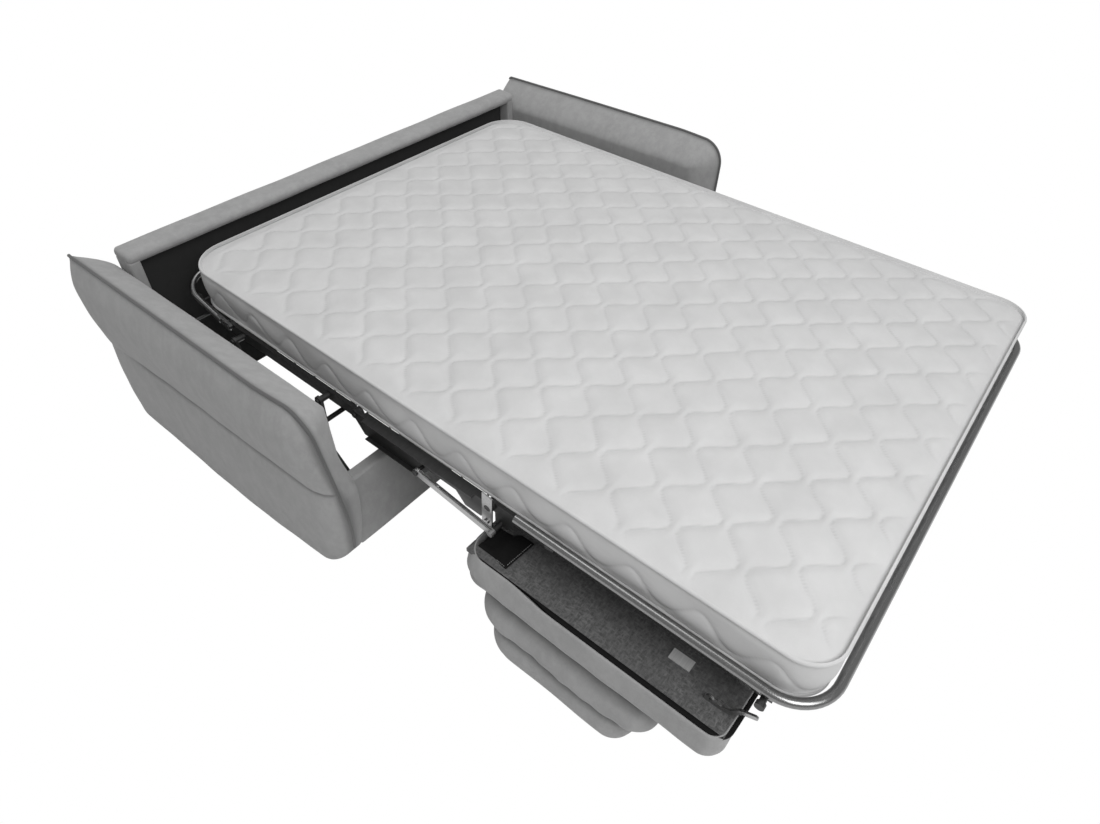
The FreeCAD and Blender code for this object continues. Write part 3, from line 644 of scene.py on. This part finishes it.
def rounded_box(name, low, high, radius, end_radius, axis=0, crown=(0.0, 0.0), wrinkle=0.0,
                size=0.2, seed=1, step=0.010):
    """A padded bar: rounded rectangles strung along one axis and drawn in at both ends.

    low and high are (x, s, z) corners, and crown swells the two pairs of long faces.
    """
    low, high = np.array(low, dtype=float), np.array(high, dtype=float)
    others = [k for k in range(3) if k != axis]
    half = (high - low) / 2.0
    middle = (high + low) / 2.0
    bend = np.linspace(0.0, math.pi / 2.0, 9)
    body_run = np.linspace(-half[axis] + end_radius, half[axis] - end_radius,
                           max(int((high[axis] - low[axis]) / step), 8))
    along = np.concatenate([-half[axis] + end_radius * (1.0 - np.sin(bend[1:])[::-1]), body_run[1:-1],
                            half[axis] - end_radius * (1.0 - np.sin(bend[1:]))])
    along = np.sort(np.unique(np.concatenate([along, body_run[[0, -1]]])))
    reach = np.clip((np.abs(along) - half[axis] + end_radius) / end_radius, 0.0, 1.0)
    inset = end_radius * (1.0 - np.sqrt(1.0 - np.minimum(reach, 0.9999) ** 2))
    count = [max(int(2.0 * half[k] / step), 4) for k in others]
    loop = rounded_rectangle(half[others[0]], half[others[1]], radius, count)
    unit = np.stack([loop[:, 0] / half[others[0]], loop[:, 1] / half[others[1]]], -1)
    a = loop[None, :, 0] * (1.0 - inset / half[others[0]])[:, None]
    b = loop[None, :, 1] * (1.0 - inset / half[others[1]])[:, None]
    fade = np.sqrt(np.clip(1.0 - (along / half[axis]) ** 8, 0.0, 1.0))[:, None]
    a = a + np.sign(unit[:, 0])[None] * crown[0] * smooth_step(0.9, 1.0, np.abs(unit[:, 0]))[None] * (
        1.0 - unit[:, 1] ** 2)[None] * fade
    b = b + np.sign(unit[:, 1])[None] * crown[1] * smooth_step(0.9, 1.0, np.abs(unit[:, 1]))[None] * (
        1.0 - unit[:, 0] ** 2)[None] * fade
    c = np.broadcast_to(along[:, None], a.shape)
    wave = wrinkle * ripple(a, b, c, seed, size)
    coords = [None, None, None]
    coords[axis] = c + middle[axis]
    coords[others[0]] = a * (1.0 + wave / half[others[0]]) + middle[others[0]]
    coords[others[1]] = b * (1.0 + wave / half[others[1]]) + middle[others[1]]
    points = place(*coords)
    points = np.concatenate([points, points[:, :1]], 1)
    caps = []
    for row in (0, -1):
        ring = points[row, :-1]
        centre = ring.mean(0)
        fan = np.stack([ring, centre + (ring - centre) * 0.5, np.broadcast_to(centre, ring.shape)])
        fan = np.concatenate([fan, fan[:, :1]], 1)
        caps.append(fan)
    patches = [grid(points)] + [grid(fan) for fan in caps]
    obj = weld(name, patches, "base", UPHOLSTERY)
    return obj


def arm_top(s):
    """Height of the arm's piping."""
    return np.interp(s, [-0.03, 0.0, 0.35, 0.8, 0.99], [0.602, 0.604, 0.613, 0.622, 0.622])


def arm_edge(s, z):
    """Place across of the piping, which leans in towards the foot of the front edge."""
    return ARM_PIPING - smooth_step(0.80, 1.0, s) * (0.012 + 0.055 * np.clip(1.0 - z / 0.6, 0.0, 1.0))


def arm_outline(s):
    """Lowest and highest point of the arm's side view at each distance forward."""
    over = np.clip((s - ARM_FRONT + ARM_CORNER) / ARM_CORNER, 0.0, 1.0)
    under = np.clip((s - ARM_FRONT + ARM_UNDER) / ARM_UNDER, 0.0, 1.0)
    top = arm_top(s) - ARM_CORNER * (1.0 - np.sqrt(1.0 - over ** 2))
    low = BASE_LOW + ARM_UNDER * (1.0 - np.sqrt(1.0 - under ** 2))
    return low, top


def arm_lean(s, z):
    """The front edge swells forward at its middle and runs back towards the floor."""
    way = smooth_step(0.55, 1.0, s)
    swell = 0.012 * np.sin(np.pi * np.clip(z / 0.62, 0.0, 1.0))
    return s + way * (swell - 0.050 * np.clip(1.0 - z / 0.30, 0.0, 1.0) ** 1.6)


def quarter_round(way):
    """Rises from 0 to 1 like a quarter circle."""
    return np.sqrt(1.0 - (1.0 - np.clip(way, 0.0, 1.0)) ** 2)


def arm_outer(s, z, near, to_front, to_top, side):
    """How far out the two-pillow face lies before it is drawn in, how it rises, and its crease."""
    crease = np.interp(s, [0.0, 0.5, 1.0], [0.302, 0.338, 0.360])
    up = np.clip((z - crease) / (arm_top(s) - crease), 0.0, 1.0)
    down = np.clip((crease - z) / (crease - BASE_LOW), 0.0, 1.0)
    upper = ARM_FULL + 0.0275 * np.sin(np.pi * up ** 1.45) ** 0.62
    lower = ARM_FULL + 0.0080 * np.sin(np.pi * down) ** 0.7 + 0.004 * down
    full = np.where(z > crease, upper, lower) - 0.016 * smooth_step(0.55, 1.0, s) * smooth_step(0.5, 0.0, z)
    sharp = smooth_step(0.02, 0.22, s) * np.exp(-((z - crease) / 0.0055) ** 2)
    full = full - 0.0045 * sharp
    full = full + 0.0013 * ripple(s, z, z * 0.0, 31 + side, 0.16) + 0.0012 * ripple(s, z, z, 37, 0.42)
    rise = np.where(to_front < to_top, quarter_round(near / ARM_CORNER), quarter_round(near / 0.085))
    return full, rise, sharp


def arm_piping(name, side, columns):
    """The corded seam along the arm's top and down its front edge."""
    high = arm_outline(columns)[1]
    along = np.stack([arm_edge(columns, high), arm_lean(columns, high), high], -1)[2:]
    low, top = arm_outline(np.array([ARM_FRONT]))
    height = np.linspace(top[0], low[0], 40)[1:]
    down = np.stack([arm_edge(ARM_FRONT, height), arm_lean(ARM_FRONT, height), height], -1)
    start = [(ARM_PIPING - 0.004, -0.023, 0.596), (ARM_PIPING - 0.001, -0.021, 0.603)]
    line = resample(np.concatenate([start, along, down]), 260)
    path = place(side * (line[:, 0] + 0.002), line[:, 1], line[:, 2] + 0.001)
    weld(name + "_arm_piping", tube(path, PIPING_RADIUS, 10), "base", PIPING)


def build_arm(name, side):
    """An arm as two sheets that meet at the piping.

    The outer face has two pillows, and the top slopes down to a plain inner face.
    """
    bend = np.linspace(0.0, math.pi / 2.0, 22)
    run = np.linspace(ARM_REAR, ARM_FRONT - ARM_CORNER, 150)
    columns = np.concatenate([run[:-1], ARM_FRONT - ARM_CORNER * (1.0 - np.sin(bend))])
    v = np.linspace(0.0, 1.0, 118)
    v = 0.5 * (v + smooth_step(0.0, 1.0, v))
    low, top = arm_outline(columns)
    z = low[:, None] + (top - low)[:, None] * v[None, :]
    s = np.broadcast_to(columns[:, None], z.shape)
    to_top = arm_top(s) - z
    to_front = ARM_FRONT - s
    corner = ARM_CORNER - np.hypot(np.clip(ARM_CORNER - to_front, 0.0, None),
                                   np.clip(ARM_CORNER - to_top, 0.0, None))
    in_corner = (to_front < ARM_CORNER) & (to_top < ARM_CORNER)
    near = np.clip(np.where(in_corner, corner, np.minimum(to_top, to_front)), 0.0, None)
    near[-1] = 0.0
    near[:, -1] = 0.0
    edge = arm_edge(s, z)
    full, rise, sharp = arm_outer(s, z, near, to_front, to_top, side)
    at_rear = quarter_round((s - ARM_REAR) / 0.030)
    outer = edge + (full - edge) * rise * (0.55 + 0.45 * at_rear)
    boxed = smooth_step(0.40, 0.30, z) * (to_front < to_top)
    width = 0.082 - 0.054 * boxed
    slope = 1.0 - (1.0 - np.clip(near / width, 0.0, 1.0)) ** (1.7 + 0.8 * boxed)
    inner_full = ARM_INNER - 0.0006 * ripple(s, z, z * 0.0, 41 + side, 0.2)
    inner = edge + (inner_full - edge) * slope * (0.75 + 0.25 * at_rear)
    lean = arm_lean(s, z)
    outer_points = place(side * outer, lean, z)
    inner_points = place(side * inner, lean, z)
    # Painted shade: rim darkens the cover right beside the piping, sharp darkens the crease between the two
    # pillows, and gusset darkens the sewn line on the boxed front, as the shade in those creases.
    rim = np.exp(-(near / 0.0045) ** 2) * 0.9
    gusset = np.exp(-((near - 0.026) / 0.0018) ** 2) * smooth_step(0.36, 0.30, z) * (to_front < 0.2)
    across = np.linspace(0.0, 1.0, 8)[None, :, None]
    base = outer_points[:, :1] * (1.0 - across) + inner_points[:, :1] * across
    rear = outer_points[0][:, None] * (1.0 - across) + inner_points[0][:, None] * across
    sheets = [outer_points, inner_points, base, rear]
    values = [np.maximum(rim, sharp), np.maximum(rim, gusset)]
    values += [np.zeros(base.shape[:2]), np.zeros(rear.shape[:2])]
    patches = [grid(sheet) for sheet in sheets]
    obj = weld(name + "_arm_cover", patches, "base", UPHOLSTERY, values)
    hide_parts(name + "_arm_board", name + "_arm_pad")
    arm_piping(name, side, columns)


def build_base():
    """The back's roll, posts and outer cover, the front rail's cover and the arms."""
    roll = rounded_box("back_roll_cover", (-BASE_HALF, 0.000, 0.557), (BASE_HALF, 0.083, 0.595), 0.018, 0.012,
                       crown=(0.0015, 0.0), wrinkle=0.0008, size=0.25, seed=51)
    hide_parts("back_top_roll")
    rear = rounded_box("back_rear_cover", (-0.812, -0.001, BASE_LOW), (0.812, 0.012, 0.572), 0.005, 0.006,
                       crown=(0.002, 0.0), wrinkle=0.0004, size=0.3, seed=52, step=0.012)
    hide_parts("back_outer_cover")
    for side, name in ((-1, "left"), (1, "right")):
        x0, x1 = sorted((side * 0.784, side * 0.8165))
        rounded_box(name + "_back_post", (x0, 0.004, BASE_LOW), (x1, 0.081, 0.568), 0.007, 0.006,
                                 axis=2, crown=(0.0, 0.001), wrinkle=0.0005, size=0.15, seed=53 + side)
    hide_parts("back_end_posts")
    rail = rounded_box("front_rail_cover", (-0.8165, 0.911, BASE_LOW), (0.8165, 0.931, 0.2755), 0.007, 0.006,
                       crown=(0.0015, 0.0), wrinkle=0.0006, size=0.3, seed=57, step=0.012)
    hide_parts("front_pad")
    rounded_box("front_rail_top", (-0.8165, 0.894, 0.262), (0.8165, 0.929, 0.2765), 0.0065, 0.006,
                wrinkle=0.0004, size=0.3, seed=58, step=0.008)
    build_arm("left", -1)
    build_arm("right", 1)


build_base()


# Folded seat and back cushions

def rounded_loop(half, s0, s1, front, rear, counts=(150, 64, 14)):
    """Points round a rectangle with arcs at its corners, always the same number on each side."""
    long_count, short_count, arc_count = counts
    corners = ((half, s0, -1, 1, front), (half, s1, -1, -1, rear),
               (-half, s1, 1, -1, rear), (-half, s0, 1, 1, front))
    turns = (-90.0, 0.0, 90.0, 180.0)
    loop = []
    centres = [(x + kx * r, s + ks * r, r) for x, s, kx, ks, r in corners]
    for index, (cx, cs, r) in enumerate(centres):
        angle = np.radians(turns[index] + np.linspace(0.0, 90.0, arc_count))
        loop.append(np.stack([cx + r * np.cos(angle), cs + r * np.sin(angle)], -1))
        nx, ns, nr = centres[(index + 1) % 4]
        stop = np.radians(turns[(index + 1) % 4])
        target = np.array([nx + nr * math.cos(stop), ns + nr * math.sin(stop)])
        count = (short_count, long_count)[index % 2]
        fill = np.linspace(0.0, 1.0, count + 2)[1:-1, None]
        loop.append(loop[-1][-1] + (target - loop[-1][-1]) * fill)
    return np.concatenate(loop)


def pad(name, half, s0, s1, front, rear, profile, body, shape):
    """A cushion: one outline drawn in and lifted through a profile.

    A row of the profile is (inset, height, cut at the front, cut at the rear, painted shade), and shape
    moves the finished points.
    """
    loops, darks = [], []
    for inset, z, cut_front, cut_rear, dark in profile:
        loop = rounded_loop(half - inset, s0 + inset + cut_front, s1 - inset - cut_rear,
                            max(front - inset, 0.002), max(rear - inset, 0.002))
        loops.append(np.concatenate([loop, np.full((len(loop), 1), z)], 1))
        darks.append(np.full(len(loop), dark))
    loops, darks = np.array(loops), np.array(darks)
    loops, darks = shape(loops, darks)
    points = place(loops[..., 0], loops[..., 1], loops[..., 2])
    points = np.concatenate([points, points[:, :1]], 1)
    darks = np.concatenate([darks, darks[:, :1]], 1)
    patches, values = [grid(points)], [darks]
    for row in (0, -1):
        ring = points[row]
        flat = np.array(ring)
        flat[:, 1] = ring[:, 1].mean()
        flat[:, 2] = ring[:, 2].mean()
        patches.append(grid(np.stack([ring, (ring + flat) / 2.0, flat])))
        values.append(np.zeros((3, len(ring))))
    obj = weld(name, patches, body, UPHOLSTERY, values)
    return obj


def smooth_profile(points, count):
    """A finer profile through the given one, with its two flat ends left as they are."""
    points = np.array(points, dtype=float)
    return np.concatenate([points[:1], resample(points[1:-1], count), points[-1:]])


def puckers(loops, centre, reach, depth, seed, size):
    """Gathers beside a sewn line at one height, fading away from it."""
    x, s, z = loops[..., 0], loops[..., 1], loops[..., 2]
    fade = np.exp(-((z - centre) / reach) ** 2)
    return depth * fade * ripple(x, s, z * 0.15, seed, size)


def push_out(loops, amount):
    """Moves points outwards in plan."""
    x, s = loops[..., 0], loops[..., 1]
    middle = (s.max() + s.min()) / 2.0
    half_s = (s.max() - s.min()) / 2.0
    nx = np.clip(x / np.abs(x).max(), -1.0, 1.0) ** 9
    ns = np.clip((s - middle) / half_s, -1.0, 1.0) ** 9
    size = np.maximum(np.hypot(nx, ns), 1e-3)
    weight = np.clip(np.hypot(nx, ns) * 1.6, 0.0, 1.0)
    moved = np.array(loops)
    moved[..., 0] += nx / size * amount * weight
    moved[..., 1] += ns / size * amount * weight
    return moved


def seat_shape(loops, darks):
    """Soft hollows in the seat's sides, a pleat at each front corner with painted shade in its fold, and
    gathers at its lower edge.
    """
    x, s, z = loops[..., 0], loops[..., 1], loops[..., 2]
    side = smooth_step(0.21, 0.25, z) * smooth_step(0.335, 0.30, z)
    amount = 0.0030 * ripple(x, s, z * 0.6, 61, 0.30) * side
    amount = amount + puckers(loops, 0.222, 0.02, 0.0022, 62, 0.09)
    gap = 0.0095 * smooth_step(0.300, 0.326, z) * smooth_step(1.45, 1.58, s)
    at_corner = smooth_step(1.42, 1.34, s) * smooth_step(0.68, 0.76, np.abs(x))
    pleat = np.exp(-((z - 0.262) / 0.006) ** 2) * at_corner
    moved = push_out(loops, amount + gap - 0.007 * pleat)
    # Painted shade in the pleat's fold.
    return moved, np.maximum(darks, 0.6 * pleat)


def back_shape(loops, darks):
    """A wandering sewn crease with gathers above and below it."""
    x, s, z = loops[..., 0], loops[..., 1], loops[..., 2]
    drift = 0.005 * ripple(x, s, 0.0, 66, 0.22) * np.exp(-((z - 0.112) / 0.03) ** 2)
    side = smooth_step(0.020, 0.040, z) * smooth_step(0.204, 0.180, z)
    amount = (0.0035 * ripple(x, s, z * 0.8, 63, 0.28) + puckers(loops, 0.118, 0.030, 0.0050, 64, 0.075)
              + puckers(loops, 0.118, 0.016, 0.0022, 65, 0.035))
    moved = push_out(loops, amount * side)
    moved[..., 2] += drift
    return moved, darks


def build_gap_shadow():
    """A black sheet of painted shadow, laid in the gap between the felt board and the seat's rim."""
    loop = rounded_loop(BOARD_HALF, 1.3255, 1.9955, 0.045, 0.030)
    way = np.stack([loop[:, 0] / BOARD_HALF, (loop[:, 1] - 1.66) / 0.335], -1)
    way = np.clip(way, -1.0, 1.0) ** 15
    way = way / np.maximum(np.linalg.norm(way, axis=1), 1e-3)[:, None]
    outer = loop + way * (0.0005 + 0.0105 * smooth_step(1.50, 1.60, loop[:, 1])[:, None])
    low = BOARD_TOP - 0.0105
    rings = [(loop, low), (outer, low), (outer, BOARD_TOP), (loop, BOARD_TOP), (loop, low)]
    sheet = np.stack([place(ring[:, 0], ring[:, 1], height) for ring, height in rings])
    sheet = np.concatenate([sheet, sheet[:, :1]], 1)
    # Painted shadow: the gap is only in shade, and this near-black sheet stands in for it.
    weld("seat_gap_shadow", [grid(sheet)], "seat", FLAP_AND_GAP_SHADOW)


def build_cushions():
    """The seat pad, with its rim round the felt, and the two-channel back pad."""
    # The last number of each row is painted shade: a sunken line near the edge of the wide face, and the rim's
    # turn down into the gap.
    seat = smooth_profile([
        (0.340, 0.216, 0, 0, 0), (0.070, 0.214, 0, 0, 0.6), (0.036, 0.2165, 0, 0, 0.4),
        (0.016, 0.226, 0, 0, 0), (0.004, 0.243, 0, 0, 0), (0.000, 0.262, 0, 0, 0), (0.001, 0.282, 0, 0, 0),
        (0.005, 0.300, 0, 0, 0), (0.010, 0.315, 0, 0, 0), (0.0145, 0.326, 0, 0, 0), (0.0180, 0.3305, 0, 0, 0.1),
        (0.0212, 0.3285, 0, 0, 0.9), (0.0222, 0.3180, 0, 0, 1.0), (0.340, 0.3170, 0, 0, 0),
    ], 92)
    seat_pad = pad("seat_cushion", 0.810, 1.310, 2.005, 0.070, 0.045, seat, "seat", seat_shape)
    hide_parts("seat_pad")
    build_gap_shadow()
    # The last number of each row is painted shade: near the edge of the top face and in the sewn crease between
    # the two channels.
    back = smooth_profile([
        (0.240, 0.2045, 0, 0, 0), (0.048, 0.2020, 0, 0, 0.5), (0.024, 0.195, 0, 0, 0.2),
        (0.008, 0.181, 0, 0, 0), (0.001, 0.162, 0, 0, 0), (0.002, 0.142, 0.002, 0.004, 0),
        (0.010, 0.126, 0.006, 0.016, 0), (0.021, 0.1165, 0.016, 0.034, 0.5), (0.026, 0.1125, 0.026, 0.048, 1.0),
        (0.017, 0.108, 0.034, 0.052, 0.5), (0.004, 0.098, 0.038, 0.052, 0), (-0.004, 0.084, 0.038, 0.052, 0),
        (-0.006, 0.066, 0.038, 0.052, 0), (-0.003, 0.048, 0.038, 0.052, 0), (0.008, 0.034, 0.038, 0.052, 0),
        (0.030, 0.027, 0.036, 0.062, 0), (0.050, 0.026, 0.036, 0.062, 0), (0.190, 0.026, 0.036, 0.062, 0),
    ], 104)
    back_pad = pad("back_cushion_cover", 0.822, 1.352, 1.866, 0.095, 0.055, back,
                   "back_cushion", back_shape)
    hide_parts("back_pad")


build_cushions()


# Black corner pieces

def flap_height(x, s):
    """A flap lies on the board and sags a little over the notch at its corner."""
    sag = (1.0 - smooth_step(1.366, 1.390, s)) * (1.0 - smooth_step(0.744, 0.760, x))
    return FLAP_TOP - 0.0040 * sag + 0.0006 * ripple(x, s, 0.0, 71, 0.05)


def build_flap(name, side):
    """A black cloth corner stitched down along its two free edges."""
    across = np.linspace(0.0, 1.0, 34)[:, None]
    s = 1.344 + np.linspace(0.0, 1.0, 52)[None, :] * (0.096 - 0.006 * across)
    x = 0.6935 + across * (0.072 + 0.006 * smooth_step(1.39, 1.43, s))
    x = x - 0.014 * (1.0 - across) * smooth_step(1.385, 1.405, s)
    z = flap_height(x, s)
    top = place(side * x, s, z)
    under = place(side * x, s, z - 0.0022)
    walls = [np.stack([top[0], under[0]]), np.stack([top[-1], under[-1]]),
             np.stack([top[:, 0], under[:, 0]]), np.stack([top[:, -1], under[:, -1]])]
    patches = [grid(sheet) for sheet in [top, under] + walls]
    flap = weld(name + "_corner_flap", patches, "seat", FLAP_AND_GAP_SHADOW)
    patches = []
    rows = (((0.684, 1.4355), (0.764, 1.4305), 15), ((0.7675, 1.402), (0.7695, 1.428), 5))
    for start, end, count in rows:
        start, end = np.array(start), np.array(end)
        for index in range(count):
            ends = start + (end - start) * ((index + np.array([[0.15], [0.75]])) / count)
            line = place(side * ends[:, 0], ends[:, 1], flap_height(ends[:, 0], ends[:, 1]) + 0.0004)
            patches += tube(line, 0.0007, 6)
    weld(name + "_flap_stitching", patches, "seat", STITCH)
    return flap


flaps = [build_flap("left", -1), build_flap("right", 1)]
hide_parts("seat_corner_flaps")


# Camera, floor and lights

def build_camera():
    """The photograph's camera."""
    turn, lift, tilt = (math.radians(v) for v in (-52.98, 44.44, 2.533))
    back = Vector((math.sin(turn) * math.cos(lift), -math.cos(turn) * math.cos(lift), math.sin(lift)))
    right = (-back).cross(Vector((0.0, 0.0, 1.0))).normalized()
    up = right.cross(-back)
    cam_x = right * math.cos(tilt) + up * math.sin(tilt)
    cam_y = up * math.cos(tilt) - right * math.sin(tilt)
    data = bpy.data.cameras.new("camera")
    data.sensor_fit = "HORIZONTAL"
    data.sensor_width = 36.0
    data.lens = 23.322
    data.clip_start = 0.05
    camera = bpy.data.objects.new("camera", data)
    bpy.context.scene.collection.objects.link(camera)
    turned = Matrix((cam_x, cam_y, back)).transposed().to_4x4()
    camera.matrix_world = Matrix.Translation((-1.432, REAR - 2.036, 1.703)) @ turned
    bpy.context.scene.camera = camera


def build_floor():
    """A wide pale floor that the camera sees as plain white."""
    size = 40.0
    mesh = bpy.data.meshes.new("floor")
    corners = [(-size, -size, 0), (size, -size, 0), (size, size, 0), (-size, size, 0)]
    mesh.from_pydata(corners, [], [(0, 1, 2, 3)])
    floor = bpy.data.objects.new("floor", mesh)
    bpy.context.scene.collection.objects.link(floor)
    material, shader = begin("floor")
    shader.inputs["Base Color"].default_value = grey(0.75)
    shader.inputs["Roughness"].default_value = 0.9
    rays = Wire.node("ShaderNodeLightPath")
    seen = Wire.math("MAXIMUM", Wire(rays.outputs["Is Camera Ray"]), Wire(rays.outputs["Is Glossy Ray"]))
    seen = Wire.math("MAXIMUM", seen, Wire(rays.outputs["Is Transmission Ray"]))
    glow = Wire.node("ShaderNodeEmission")
    glow.inputs["Color"].default_value = (1.0, 1.0, 1.0, 1.0)
    mix = Wire.node("ShaderNodeMixShader")
    Wire.feed(mix.inputs[0], seen)
    Wire.tree.links.new(shader.outputs[0], mix.inputs[1])
    Wire.tree.links.new(glow.outputs[0], mix.inputs[2])
    Wire.tree.links.new(mix.outputs[0], Wire.tree.nodes["Material Output"].inputs["Surface"])
    mesh.materials.append(material)


def area_light(name, spot, aim, size, power):
    """A soft square lamp at a spot, turned to a point."""
    data = bpy.data.lights.new(name, "AREA")
    data.size = size
    data.energy = power
    lamp = bpy.data.objects.new(name, data)
    bpy.context.scene.collection.objects.link(lamp)
    way = Vector(spot) - Vector(aim)
    lamp.matrix_world = Matrix.Translation(spot) @ way.to_track_quat("Z", "Y").to_matrix().to_4x4()


def build_lights():
    """An even pale sky, a large lamp overhead and a softer one from the front."""
    world = bpy.data.worlds.new("studio")
    bpy.context.scene.world = world
    world.use_nodes = True
    sky = world.node_tree.nodes["Background"]
    sky.inputs["Color"].default_value = (1.0, 1.0, 1.0, 1.0)
    sky.inputs["Strength"].default_value = 0.42
    area_light("key", (-1.4, -2.6, 3.4), (0.0, 0.0, 0.3), 2.2, 82.0)
    area_light("top", (0.3, 0.6, 4.2), (0.0, 0.0, 0.3), 3.0, 50.0)


build_camera()
build_floor()
build_lights()
bpy.context.scene.view_settings.view_transform = "Standard"
